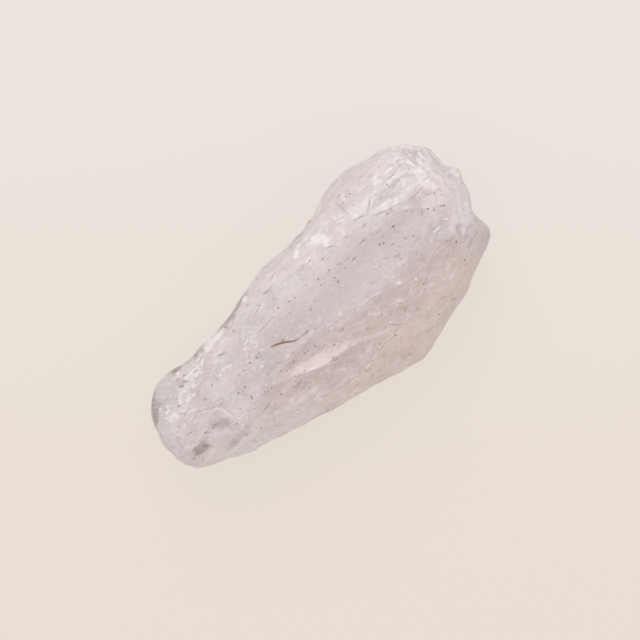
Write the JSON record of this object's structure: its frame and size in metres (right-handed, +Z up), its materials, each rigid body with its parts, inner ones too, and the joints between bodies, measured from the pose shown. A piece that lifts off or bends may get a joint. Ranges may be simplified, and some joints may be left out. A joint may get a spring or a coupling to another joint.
{
  "type": "rough gemstone crystal",
  "caption": "Rough crystal of pale pink beryl, broken at both ends and etched along its length, lying on a flat prism face, with a splintered wide end and a rounded narrow end.",
  "frame": {"origin": "centre of the bounding box at its bottom, in the plane of the flat prism face", "axes": "+X along the crystal to its wide splintered end, +Z up from the prism face, +Y to the bevelled side"},
  "size_m": [0.042, 0.02, 0.0139],
  "materials": {
    "morganite": "satin"
  },
  "bodies": {
    "root": {"morganite_crystal": "morganite"}
  },
  "joints": []
}
